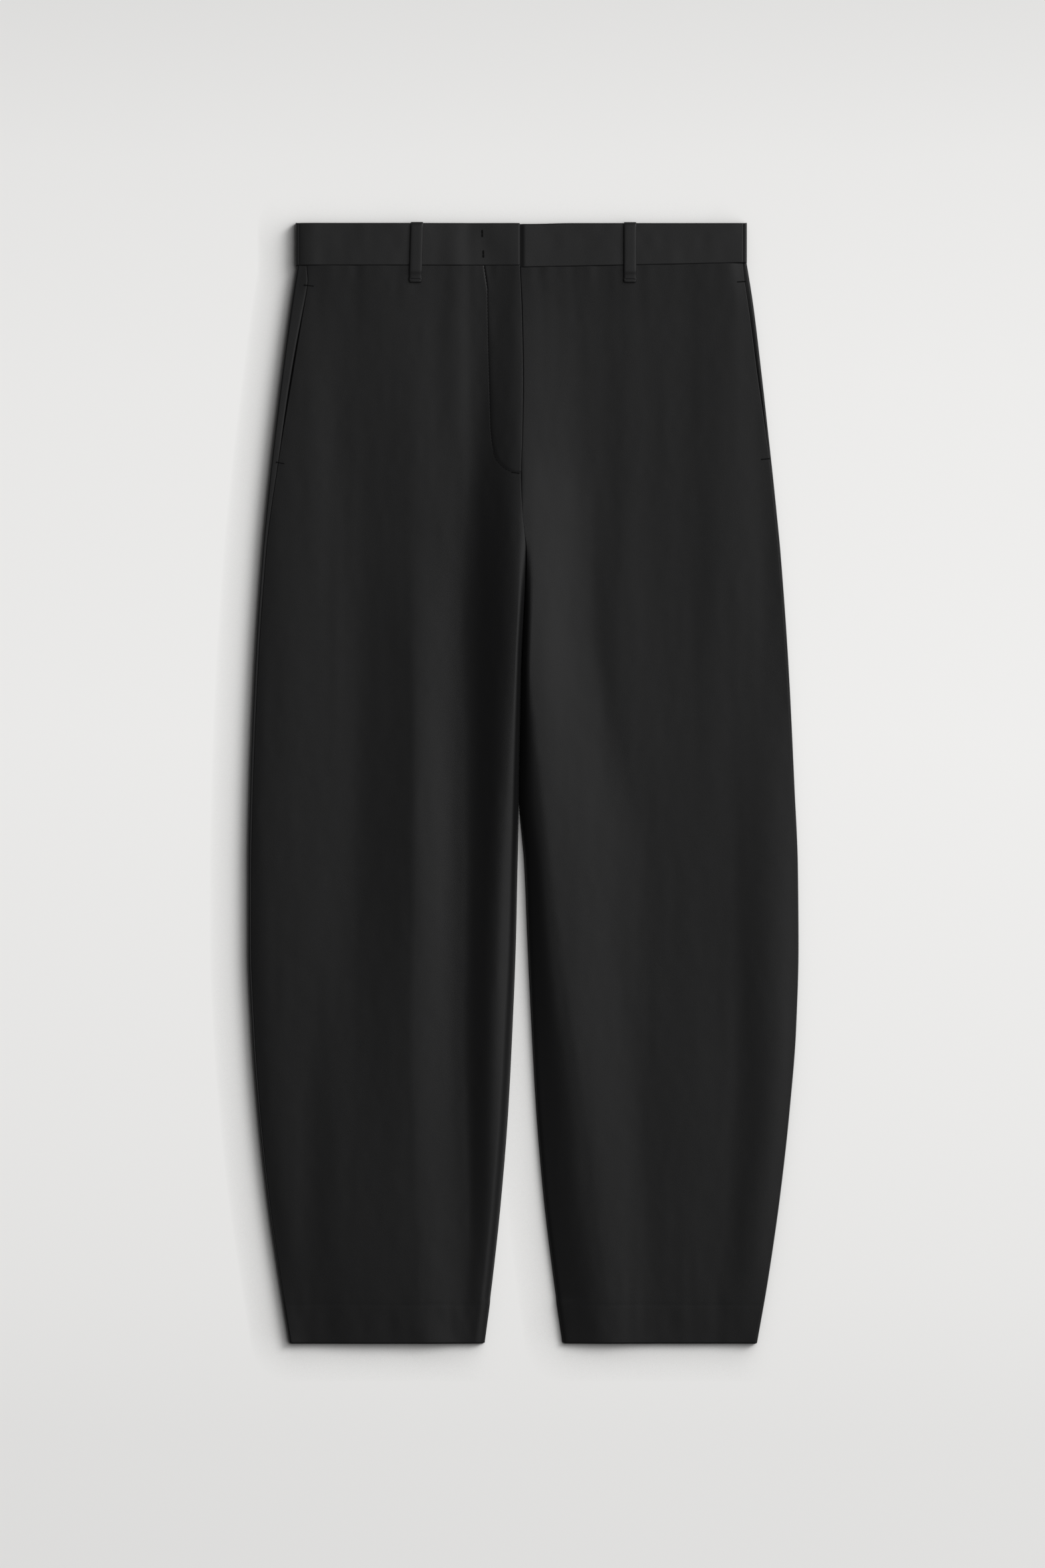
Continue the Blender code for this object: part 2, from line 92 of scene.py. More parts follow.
# Fly
FLY_UNDERLAP = 12.6  # how far the left front runs on beneath the right one
FLY_STEP = 0.3  # gap between the two there
FLY_NARROW = 203.0  # levels between which that stretch narrows to nothing
FLY_GONE = 221.0
FLY_LEVEL_START = 222.0  # levels between which the left front comes up level with the right one
FLY_LEVEL_END = 236.0
FLY_RISE_START = 0.2  # distances from the right front's edge over which the left one comes up
FLY_RISE_END = 1.35
FLY_RAISE = 0.3  # height that the fly's inner layers add
FLY_RAISE_END = 130.0  # level from which they add it in full
FLY_EDGE_OUT = 1.2  # the inner layers end between this far outside the topstitching
FLY_EDGE_IN = 3.4  # and this far inside it
GROOVE_DEPTH = 0.14  # dip along the topstitching
GROOVE_WIDTH = 0.5
TUCK_DEPTH = 0.3  # deeper dip at its upper end
TUCK_WIDTH = 0.6
TUCK_START = 50.0  # levels between which that dip fades out
TUCK_END = 66.0

# Waistband
BAND_SIDE = {"right": -205.0, "left": 201.6}  # x of its side edges
BAND_CLOSE = -3.5  # x of the front end that laps over
BAND_UNDERLAP = 35.0  # how far the left end runs on beneath
BAND_TOP = 7.8  # height of its outer face
BAND_CLEAR = 0.15  # gap between its two ends
BAND_MIDDLE = 3.9  # height of its side edges' widest points
BAND_ROLL = 1.6  # how far its top edge takes to round over
BAND_DROP = 0.9  # how much lower its top edge ends
SEAM_ROLL = 0.8  # the same two at its lower edge
SEAM_DROP = 0.22
BAND_RISE_START = 0.3  # distances from the upper end over which the lower one comes up
BAND_RISE_END = 5.0
BAND_STRIP = 3.6  # how far the back waistband wraps in over the front at each side
BAND_SPRING = 20.0  # how far in from its side edges the folds reach their full height
BAND_GAP = 0.1  # gap between its lower edge and the waist seam's level
CLOSE_DIP = 0.8  # how much lower the left top edge lies by the closing
CLOSE_DIP_START = 5.0  # x between which that fades out
CLOSE_DIP_END = 45.0
BACK_DIP = 0.5  # how much lower the back waistband's top edge lies than the front one's
BACK_DIP_START = 3.0  # distances from the side edges over which it drops
BACK_DIP_END = 12.0
BAND_FLOOR = (-198.0, 195.0)  # x between which the back waistband lies on the floor

# Pockets and belt loops
MOUTH_TOP = 56.0
MOUTH_BOTTOM = 215.0
MOUTH_GAPE = {"right": 1.9, "left": 0.8}
FACING_WIDTH = 22.0
FACING_OUT = 5.5  # how far a facing runs on outside its pocket mouth
FACING_INSIDE = 0.4  # its least gap to the rounding of the side edge
FACING_GAP = 0.65  # its gap to the front that lies on it
LOOP_WIDTH = 10.0
LOOP_END = 53.0
LOOP_LIFT = 0.3  # gap beneath a belt loop where it is sewn down
LOOP_ARCH = 0.8  # gap beneath it over the waistband
LOOP_CROWN = 0.15  # how much lower its long edges lie than its middle
LOOP_FOLD = 2.2  # how far above its end its fold shows
LOOP_FOLD_DEPTH = 0.45
LOOP_FOLD_WIDTH = 0.35
LOOP_FOLD_SPAN = 0.46  # half of the share of its width that the fold takes

# The cloth's small unevenness, a row for each kind: the height of its waves, and the size of their cells
Ripple = namedtuple("Ripple", "height x_cell down_cell")
STREAK = Ripple(0.17, 19, 210)
FINE_STREAK = Ripple(0.05, 8, 90)
DIMPLE = Ripple(0.05, 6, 14)
WAIST_PUCKER = Ripple(0.24, 7.5, 60)
HEM_PUCKER = Ripple(0.16, 11, 30)
HEM_WAVER = Ripple(0.5, 25, 300)
BAND_WAVE = Ripple(0.22, 26, 40)
BAND_PUCKER = Ripple(0.10, 9, 16)
WAVE_CELLS = 97  # cells each way before the waves repeat
WAVE_SHIFT_X = 40
WAVE_SHIFT_DOWN = 1
PANEL_SEED = {"right": 11, "left": 23}
BAND_SEED = {"right": 31, "left": 41}
FINE_FADE = 12.0  # how far in from a panel's side edge the unevenness is full
BAND_FADE = 10.0  # the same on the waistband
WAIST_PUCKER_REACH = 18.0  # how far below the waistband its puckers fade
HEM_PUCKER_LEVEL = 20.0  # how far above the hem its puckers are deepest
HEM_PUCKER_REACH = 22.0
HEM_LINE_DEPTH = 0.06  # faint line where the turned-up hem ends
HEM_LINE_WIDTH = 1.6

# A row for each level: x of the side edges, and of the inseam edges or, above the crotch, the centre front
Level = namedtuple("Level", "down right_side right_inner left_inner left_side")
LEVELS = (
    Level(38, -203.7, -3.5, -2.9, 201.4),
    Level(78, -210.0, -1.7, -1.1, 207.8),
    Level(141, -218.4, -0.5, 0.1, 215.5),
    Level(195, -225.0, -1.3, -0.7, 221.5),
    Level(225, -228.4, -2.7, -2.1, 224.8),
    Level(258, -231.8, -1.2, -0.6, 228.2),
    Level(295, -235.2, 2.3, 2.9, 231.8),
    Level(399, -242.2, -1.6, -1.0, 239.2),
    Level(509, -246.6, -4.1, -3.4, 244.6),
    Level(579, -247.9, -5.6, 1.9, 247.6),
    Level(651, -247.9, -7.2, 4.9, 248.2),
    Level(726, -244.9, -10.2, 8.5, 246.0),
    Level(801, -239.2, -14.1, 12.8, 240.0),
    Level(876, -231.0, -20.1, 19.2, 231.6),
    Level(951, -220.0, -28.1, 28.3, 220.8),
    Level(1009, -210.5, -35.7, 36.7, 210.7),
)

# A row for each level: height of each front's outer face between its edges and folds
Rest = namedtuple("Rest", "down right left")
RESTS = (
    Rest(38, 7.3, 7.3),
    Rest(90, 6.4, 5.8),
    Rest(300, 6.4, 5.4),
    Rest(560, 6.4, 6.2),
    Rest(900, 6.6, 6.6),
    Rest(960, 6.2, 6.2),
    Rest(1009, 5.0, 5.0),
)

# A row for each level: how far in from each side edge its seam lies
Strip = namedtuple("Strip", "down right left")
STRIPS = (
    Strip(38, 9.0, 3.6),
    Strip(56, 12.6, 4.8),
    Strip(130, 10.6, 4.2),
    Strip(215, 7.0, 1.9),
    Strip(300, 4.0, 1.9),
    Strip(700, 3.2, 1.7),
    Strip(1009, 1.8, 1.6),
)

# A row for each level: how far a front's inner edge takes to round up from the floor
Inseam = namedtuple("Inseam", "down right left")
INSEAMS = (
    Inseam(300, 4.5, 4.5),
    Inseam(410, 4.5, 6),
    Inseam(465, 5, 9),
    Inseam(570, 6, 14),
    Inseam(680, 7, 22),
    Inseam(790, 8, 33),
    Inseam(900, 8, 38),
    Inseam(1009, 8, 42),
)

# The soft folds, each with a row for each level: its crest's x, its reach to each side, and its height
Crest = namedtuple("Crest", "down x left right height")
Fold = namedtuple("Fold", "side sharp_left sharp_right crests")
CENTRE_ROLL = (
    Crest(45, -3, 34, 20, 0.9),
    Crest(95, -3, 36, 20, 1.6),
    Crest(200, -3, 44, 22, 4.3),
    Crest(260, -3, 50, 24, 7.2),
    Crest(350, -4, 53, 26, 9.8),
    Crest(460, -12, 42, 26, 8.2),
    Crest(600, -21, 32, 26, 5.7),
    Crest(750, -26, 28, 26, 4.6),
    Crest(850, -28, 23, 24, 3.0),
    Crest(920, -31, 19, 22, 1.4),
    Crest(1009, -40, 18, 20, 0.3),
)
HIP_RIDGE = (
    Crest(45, -112, 76, 66, 2.0),
    Crest(150, -108, 72, 62, 1.9),
    Crest(300, -100, 60, 48, 1.1),
    Crest(420, -98, 50, 40, 0.0),
)
THIGH_RIDGE = (
    Crest(280, -100, 50, 40, 0.0),
    Crest(400, -99, 52, 40, 2.3),
    Crest(570, -99, 62, 39, 3.7),
    Crest(720, -101, 70, 42, 3.2),
    Crest(880, -97, 76, 44, 2.4),
    Crest(1009, -90, 96, 44, 3.0),
)
SIDE_LIFT = (
    Crest(60, -204, 36, 104, 2.7),
    Crest(150, -216, 38, 110, 3.1),
    Crest(240, -223, 38, 104, 2.8),
    Crest(360, -228, 40, 100, 2.4),
    Crest(600, -232, 40, 104, 2.6),
    Crest(760, -226, 40, 90, 1.8),
    Crest(900, -212, 40, 60, 1.0),
    Crest(1009, -200, 40, 60, 0.6),
)
SHIN_LIFT = (
    Crest(620, -150, 50, 70, 0.0),
    Crest(760, -156, 46, 75, 1.2),
    Crest(900, -158, 44, 80, 1.9),
    Crest(1009, -150, 50, 60, 1.6),
)
FLY_PLEAT = (
    Crest(45, -61, 20, 15, 0.7),
    Crest(140, -60, 22, 15, 0.6),
    Crest(240, -58, 18, 12, 0.0),
)
LEFT_ROLL = (
    Crest(45, 0, 12, 56, 0.4),
    Crest(95, 0, 12, 56, 2.0),
    Crest(200, 0, 14, 60, 4.2),
    Crest(260, 0, 14, 66, 7.2),
    Crest(360, 1, 16, 68, 8.6),
    Crest(460, 11, 30, 78, 7.4),
    Crest(560, 23, 40, 88, 6.8),
    Crest(680, 38, 60, 68, 5.2),
    Crest(800, 56, 70, 54, 3.8),
    Crest(900, 68, 80, 48, 2.8),
    Crest(1009, 80, 80, 44, 2.2),
)
HIP_FOLD = (
    Crest(230, 84, 26, 36, 0.0),
    Crest(350, 86, 26, 38, 0.6),
    Crest(430, 92, 26, 40, 0.6),
    Crest(540, 100, 26, 44, 0.0),
)
POCKET_FOLD = (
    Crest(50, 188, 50, 30, 0.4),
    Crest(150, 187, 52, 40, 1.1),
    Crest(280, 188, 50, 40, 1.1),
    Crest(430, 192, 46, 36, 0.0),
)
SIDE_RIDGE = (
    Crest(430, 225, 40, 24, 0.0),
    Crest(600, 225, 39, 44, 1.7),
    Crest(740, 225, 37, 44, 2.1),
    Crest(880, 215, 33, 40, 1.9),
    Crest(1009, 204, 30, 40, 0.6),
)
SHIN_FOLD = (
    Crest(680, 160, 66, 60, 0.0),
    Crest(800, 160, 66, 50, 0.5),
    Crest(1009, 156, 60, 50, 0.2),
)
FOLDS = (
    Fold("right", 0.0, 0.0, CENTRE_ROLL),
    Fold("right", 0.0, 0.0, HIP_RIDGE),
    Fold("right", 0.6, 0.0, THIGH_RIDGE),
    Fold("right", 0.0, 0.0, SIDE_LIFT),
    Fold("right", 0.0, 0.0, SHIN_LIFT),
    Fold("right", 0.0, 0.0, FLY_PLEAT),
    Fold("left", 0.0, 0.3, LEFT_ROLL),
    Fold("left", 0.0, 0.0, HIP_FOLD),
    Fold("left", 0.0, 0.0, POCKET_FOLD),
    Fold("left", 0.0, 0.0, SIDE_RIDGE),
    Fold("left", 0.0, 0.0, SHIN_FOLD),
)

# A row for each point of the fly's topstitching, from the waist seam to its bar tack
Stitch = namedtuple("Stitch", "x down")
FLY_STITCH = (
    Stitch(-35.1, 38.4),
    Stitch(-32.1, 59.4),
    Stitch(-31.5, 105.6),
    Stitch(-30.4, 145.8),
    Stitch(-29.3, 185.0),
    Stitch(-27.9, 199.0),
    Stitch(-26.3, 207.6),
    Stitch(-23.5, 213.7),
    Stitch(-19.4, 218.6),
    Stitch(-14.7, 222.2),
    Stitch(-10.1, 224.2),
)
FLY_CORNER = 200.0  # level below which the topstitching curves in

# A row for each bar tack: its two ends
Tack = namedtuple("Tack", "name side x_start down_start x_end down_end")
TACKS = (
    Tack("tack_pocket_right_top", "right", -196.9, 55.8, -188.5, 56.8),
    Tack("tack_pocket_right_low", "right", -221.9, 215.2, -215.0, 216.6),
    Tack("tack_pocket_left_top", "left", 192.9, 54.9, 200.2, 54.6),
    Tack("tack_pocket_left_low", "left", 214.6, 212.6, 221.9, 212.0),
    Tack("tack_fly", "right", -10.1, 224.4, -3.4, 225.4),
)

# A row for each belt loop: its middle at the waist and at its lower end
Loop = namedtuple("Loop", "side x_top x_end")
LOOPS = (Loop("right", -95.5, -96.9), Loop("left", 96.3, 96.2))
Turn = namedtuple("Turn", "down z")

# A row for each short upright row of thread on the waistband
Mark = namedtuple("Mark", "x down_start down_end")
MARKS = (Mark(-36.7, 6.0, 12.6), Mark(-35.7, 24.5, 31.1))
MARK_LANES = (-0.45, 0.0, 0.45)

# A row for each stretch of levels, with their spacing
Stretch = namedtuple("Stretch", "start end step")
PANEL_STRETCHES = (
    Stretch(BAND - SEAM_TUCK, BAND + 1, 0.2),
    Stretch(BAND + 1, BAND + 6, 0.8),
    Stretch(BAND + 6, 198, 3.0),
    Stretch(198, 228, 0.75),
    Stretch(228, 236, 1.5),
    Stretch(236, LENGTH - HEM_TURN - 6, 3.0),
    Stretch(LENGTH - HEM_TURN - 6, LENGTH - HEM_TURN + 6, 1.2),
    Stretch(LENGTH - HEM_TURN + 6, LENGTH - 4, 2.4),
    Stretch(LENGTH - 4, LENGTH - 1, 1.0),
)
LOOP_STRETCHES = (
    Stretch(1.0 - LOOP_RISE, 4, 0.5),
    Stretch(4.8, LOOP_END - 5, 1.2),
    Stretch(LOOP_END - 4.5, LOOP_END, 0.5),
)
FACING_STRETCH = Stretch(BAND + 6, MOUTH_BOTTOM + 9, 3.0)

# How the columns of points are spread across the pieces
PANEL_COLUMNS = {"right": 62, "left": 72}
PANEL_CROWD = 1.12  # crowds a front's columns towards its inner edge
EDGE_TURNS = np.radians(np.arange(0, 91, 11.25))  # over the rounding of a front's inner edge
UNDERLAP_COLUMNS = 4.0
UNDERLAP_CROWD = 1.3
SIDE_COLUMNS = (12.0, 9.0, 6.5, 4.6, 3.2, 2.1, 1.3, 0.7, 0.3, 0.0)  # distances from the side seam
STITCH_COLUMNS = (-2.4, -1.6, -1.0, -0.6, -0.3, 0.0, 0.3, 0.6, 1.0, 1.6, 2.4)  # and from the topstitching
LAP_COLUMNS = 14
FLOOR_COLUMNS = 51
BAND_FLOOR_COLUMNS = 80
FACING_COLUMNS = 12
LOOP_COLUMNS = 13
WRAP_TURNS = np.concatenate([np.linspace(-1, 0, 8), np.linspace(0, 1, 13)[1:]])
RIM_TURNS = [math.radians(turn) for turn in (45, 90, 135)]  # round a wall's rim, from its outer face
BAND_SHARES = np.concatenate(
    [
        [0, 0.008, 0.02, 0.04, 0.07],
        np.linspace(0.1, 0.9, 15),
        [0.93, 0.95, 0.97, 0.985, 1.0],
    ]
)


def ramp(value, start, end):
    """0 before start, 1 after end, and a soft change between them."""
    t = np.clip((np.asarray(value, float) - start) / (end - start), 0, 1)
    return t * t * (3 - 2 * t)


def bell(distance, reach):
    """1 at no distance, and a soft fall to almost nothing at twice the reach."""
    return np.exp(-((distance / reach) ** 2))


def rounded(distance, reach):
    """Rise of a quarter ellipse, from 0 at an edge to 1 where its rounding ends."""
    return np.sqrt(np.clip(1 - (1 - np.clip(distance / reach, 0, 1)) ** 2, 0, 1))


def curve(rows, column, x):
    """Values at x of a smooth curve through one named column of a table, which never overshoots its rows."""
    stops = np.array([row[0] for row in rows], float)
    values = np.array([getattr(row, column) for row in rows], float)
    steps = np.diff(values) / np.diff(stops)
    inner = [2 * a * b / (a + b) if a * b > 0 else 0.0 for a, b in zip(steps, steps[1:])]
    slopes = np.array([steps[0], *inner, steps[-1]])
    x = np.asarray(x, float)
    k = np.clip(np.searchsorted(stops, x) - 1, 0, len(stops) - 2)
    span = stops[k + 1] - stops[k]
    t = np.clip((x - stops[k]) / span, 0, 1)
    start = values[k] * (1 + 2 * t) + slopes[k] * span * t
    end = values[k + 1] * (3 - 2 * t) - slopes[k + 1] * span * (1 - t)
    return start * (1 - t) ** 2 + end * t**2


def waves(seed, kind, x, down):
    """Smooth random waves of one kind, up to its height above and below nothing."""
    table = np.random.default_rng(seed).uniform(-1, 1, (WAVE_CELLS, WAVE_CELLS))
    u = np.asarray(x, float) / kind.x_cell + WAVE_SHIFT_X
    v = np.asarray(down, float) / kind.down_cell + WAVE_SHIFT_DOWN
    i = np.floor(u).astype(int)
    j = np.floor(v).astype(int)
    a = ramp(u - i, 0, 1)
    b = ramp(v - j, 0, 1)
    left = i % WAVE_CELLS
    right = (i + 1) % WAVE_CELLS
    upper = j % WAVE_CELLS
    lower = (j + 1) % WAVE_CELLS
    start = table[left, upper] * (1 - a) + table[right, upper] * a
    end = table[left, lower] * (1 - a) + table[right, lower] * a
    return kind.height * (start * (1 - b) + end * b)


def wall(down):
    """Thickness of a front or back."""
    return CLOTH + (HEM_CLOTH - CLOTH) * ramp(down, LENGTH - HEM_TURN - HEM_STEP, LENGTH - HEM_TURN)


def outward(side):
    return -1.0 if side == "right" else 1.0


def side_edge(side, down):
    return curve(LEVELS, side + "_side", down)


def inner_edge(side, down):
    right = curve(LEVELS, "right_inner", down)
    return right if side == "right" else np.maximum(right + LEG_GAP, curve(LEVELS, "left_inner", down))


def inseam_round(down):
    """How far a front's inner edge takes to round over."""
    return INSEAM_TIGHT + (INSEAM_ROUND - INSEAM_TIGHT) * ramp(down, TURN_END, TOUCH_END)


def mouth_gap(side, down):
    """How far a pocket mouth gapes at this level."""
    t = np.clip((down - MOUTH_TOP) / (MOUTH_BOTTOM - MOUTH_TOP), 0, 1)
    return MOUTH_GAPE[side] * np.sin(math.pi * t)


def seam_tilt(side, x, down, is_front):
    """The left waist seam runs slightly uphill to the side, and the levels below even it out."""
    if side == "right":
        return 0.0 * x
    across = np.clip(x / LEVELS[0].left_side, 0, 1)
    tilt = TILT_START - TILT_RISE * across if is_front else (TILT_START - TILT_RISE) * across
    return tilt * (1 - ramp(down, BAND, TILT_END))


def fold_lift(side, x, down):
    """Height that the soft folds add."""
    lift = 0.0 * x
    for fold in FOLDS:
        if fold.side != side:
            continue
        offset = x - curve(fold.crests, "x", down)
        is_left = offset < 0
        reach = np.where(is_left, curve(fold.crests, "left", down), curve(fold.crests, "right", down))
        sharp = np.where(is_left, fold.sharp_left, fold.sharp_right)
        u = np.clip(np.abs(offset) / reach, 0, 1)
        soft_shape = np.cos(math.pi / 2 * u) ** 2
        shape = soft_shape + ((1 - u) ** FOLD_POWER - soft_shape) * sharp
        lift = lift + curve(fold.crests, "height", down) * shape
    return lift


def fine_lift(side, x, down):
    """Unevenness too small for the solids: long faint streaks, and puckers at the waist and the hems."""
    seed = PANEL_SEED[side]
    streaks = waves(seed, STREAK, x, down) + waves(seed + 1, FINE_STREAK, x, down)
    dimples = waves(seed + 2, DIMPLE, x, down)
    below = np.maximum(down - BAND, 0)
    puckers = waves(seed + 3, WAIST_PUCKER, x, down) * np.exp(-below / WAIST_PUCKER_REACH)
    above_hem = np.maximum(LENGTH - down, 0)
    hem = waves(seed + 4, HEM_PUCKER, x, down) * bell(above_hem - HEM_PUCKER_LEVEL, HEM_PUCKER_REACH)
    from_line = above_hem - HEM_TURN - waves(seed + 5, HEM_WAVER, x, down)
    return streaks + dimples + puckers + hem - HEM_LINE_DEPTH * bell(from_line, HEM_LINE_WIDTH)


def stitch_distance(x, down):
    """Distance from the fly's topstitching."""
    nearest = np.full(np.shape(x), np.inf)
    for a, b in zip(FLY_STITCH, FLY_STITCH[1:]):
        run = np.array([b.x - a.x, b.down - a.down])
        t = np.clip(((x - a.x) * run[0] + (down - a.down) * run[1]) / (run @ run), 0, 1)
        nearest = np.minimum(nearest, np.hypot(x - a.x - t * run[0], down - a.down - t * run[1]))
    return nearest


def fly_layers(x, down):
    """1 over the fly's inner layers, which end softly at its topstitching."""
    xs = [p.x for p in FLY_STITCH]
    downs = [p.down for p in FLY_STITCH]
    inside = (x > np.interp(down, downs, xs)) & (down < np.interp(x, xs, downs))
    return ramp(np.where(inside, 1, -1) * stitch_distance(x, down), -FLY_EDGE_OUT, FLY_EDGE_IN)


def front_height(side, x, down):
    """Height of a front's outer face above the floor."""
    x = np.asarray(x, float)
    down = np.asarray(down, float)
    from_side = np.maximum(0.0, (side_edge(side, down) - x) * outward(side))
    from_inner = np.maximum(0.0, (x - inner_edge(side, down)) * outward(side))
    rest = curve(RESTS, side, down)
    z = rest + fold_lift(side, x, down) + (EDGE_HEIGHT - rest) * bell(from_side, EDGE_SPRING)
    z = z + fine_lift(side, x, down) * rounded(from_side, FINE_FADE)
    z = z - SEAM_DIP * (1 - rounded(down - BAND + SEAM_TUCK, SEAM_TUCK + SEAM_DIP_REACH))
    if side == "right":
        from_stitch = stitch_distance(x, down)
        z = z + FLY_RAISE * fly_layers(x, down) * ramp(down, BAND, FLY_RAISE_END)
        z = z - GROOVE_DEPTH * bell(from_stitch, GROOVE_WIDTH)
        z = z - TUCK_DEPTH * bell(from_stitch, TUCK_WIDTH) * (1 - ramp(down, TUCK_START, TUCK_END))
    z = EDGE_MIDDLE + (z - EDGE_MIDDLE) * rounded(from_side, EDGE_ROUND)
    edge = wall(down) * (1 + INSEAM_LEAN) + INSEAM_CLEAR
    low = z + (edge - z) * ramp(down, TURN_START, TURN_END)
    slow = np.sin(math.pi / 2 * np.clip(from_inner / curve(INSEAMS, side, down), 0, 1))
    rise = INSEAM_SHARE * rounded(from_inner, inseam_round(down)) + (1 - INSEAM_SHARE) * slow
    z = low + (z - low) * rise
    if side == "left":
        fly = inner_edge("right", down)
        under = front_height("right", np.minimum(x, fly), down) - CLOTH - FLY_STEP
        beside = ramp(x - fly, FLY_RISE_START, FLY_RISE_END)
        clear = np.maximum(beside, ramp(down, FLY_LEVEL_START, FLY_LEVEL_END))
        z = np.where(clear < 1, under + (z - under) * clear, z)
    return z


def at(x, down, z):
    """World points for places on the garment."""
    return np.stack(np.broadcast_arrays(x * MM, (MIDDLE - down) * MM, z * MM), axis=-1)


def unit(vectors):
    """The same vectors at length 1."""
    shortest = 1e-12
    return vectors / np.maximum(np.linalg.norm(vectors, axis=-1, keepdims=True), shortest)


def shell(name, grid, cloth, faces_up, material):
    """Closed cloth wall with rounded edges.

    grid holds the points of its outer face, rows by columns, and cloth is its thickness in millimetres.
    """
    rows, columns = grid.shape[:2]
    normal = unit(np.cross(np.gradient(grid, axis=1), np.gradient(grid, axis=0)))
    flip = (normal[..., 2].mean() > 0) != faces_up
    normal = -normal if flip else normal
    cloth = np.broadcast_to(np.asarray(cloth) * MM, (rows, columns))[..., None]
    inner = grid - normal * cloth
    ring = [(0, c) for c in range(columns)] + [(r, columns - 1) for r in range(1, rows)]
    ring += [(rows - 1, c) for c in range(columns - 2, -1, -1)] + [(r, 0) for r in range(rows - 2, 0, -1)]
    r, c = np.array(ring).T
    out = grid[r, c] - grid[np.clip(r, 1, rows - 2), np.clip(c, 1, columns - 2)]
    out = unit(out - normal[r, c] * (out * normal[r, c]).sum(-1, keepdims=True))
    half = cloth[r, c] / 2
    centre = grid[r, c] - normal[r, c] * half
    rims = [centre + (normal[r, c] * math.cos(turn) + out * math.sin(turn)) * half for turn in RIM_TURNS]
    points = np.concatenate([grid.reshape(-1, 3), inner.reshape(-1, 3), *rims])
    count = rows * columns
    index = np.arange(count).reshape(rows, columns)
    corners = [index[:-1, :-1], index[:-1, 1:], index[1:, 1:], index[1:, :-1]]
    quads = np.stack(corners, axis=-1).reshape(-1, 4)
    border = r * columns + c
    first_rim = 2 * count + np.arange(len(ring))
    loops = [border, *(first_rim + len(ring) * k for k in range(len(RIM_TURNS))), border + count]
    rim = [np.stack([a, np.roll(a, -1), np.roll(b, -1), b], axis=-1) for a, b in zip(loops, loops[1:])]
    faces = np.concatenate([quads, quads[:, ::-1] + count, *(part[:, ::-1] for part in rim)])
    if flip:
        faces = faces[:, ::-1]
    mesh = bpy.data.meshes.new(name)
    mesh.from_pydata(points.tolist(), [], faces.tolist())
    mesh.update()
    return piece_of(mesh, material)


def piece_of(mesh, material):
    """A smooth piece of the mesh, with the mesh's name."""
    mesh.shade_smooth()
    piece = bpy.data.objects.new(mesh.name, mesh)
    bpy.context.scene.collection.objects.link(piece)
    piece.data.materials.append(material)
    return piece


def settle(piece, node):
    """The piece stands for a node of the frame, whose own part is hidden, and hangs from the root body."""
    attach(piece, "root")
    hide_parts(node)


# Finish of the cloth
CLOTH_ROUGHNESS = 0.48
CLOTH_SPECULAR = 0.19
# Low gloss of the pocket facings, part of their painted shade
FACING_SPECULAR = 0.05
SHEEN = 0.02
SHEEN_ROUGHNESS = 0.5
TWILL_PITCH = 0.0006
TWILL_TURN = math.radians(27)
TWILL_WAVER = 0.6
WAVE_NODE_TURN = 20  # radians that a Wave Texture of scale 1 turns through in a metre
SLUB_SCALE = 1500
SLUB_DETAIL = 2
SLUB_TONES = (0.8, 1.25)
CLOUD_SCALE = 45
CLOUD_DETAIL = 4
CLOUD_SHARE = 0.25
RIB_STRENGTH = 0.07
RIB_DEPTH = 0.0002
GRAIN_STRENGTH = 0.21
GRAIN_DEPTH = 0.0003
THREAD_ROUGHNESS = 0.8
THREAD_SPECULAR = 0.06


def set_sockets(node, values):
    for name, value in values.items():
        node.inputs[name].default_value = value


def node_new(nodes, kind, sockets, **settings):
    """A new node with these values in its sockets and these settings."""
    node = nodes.new(kind)
    for name, value in settings.items():
        setattr(node, name, value)
    set_sockets(node, sockets)
    return node


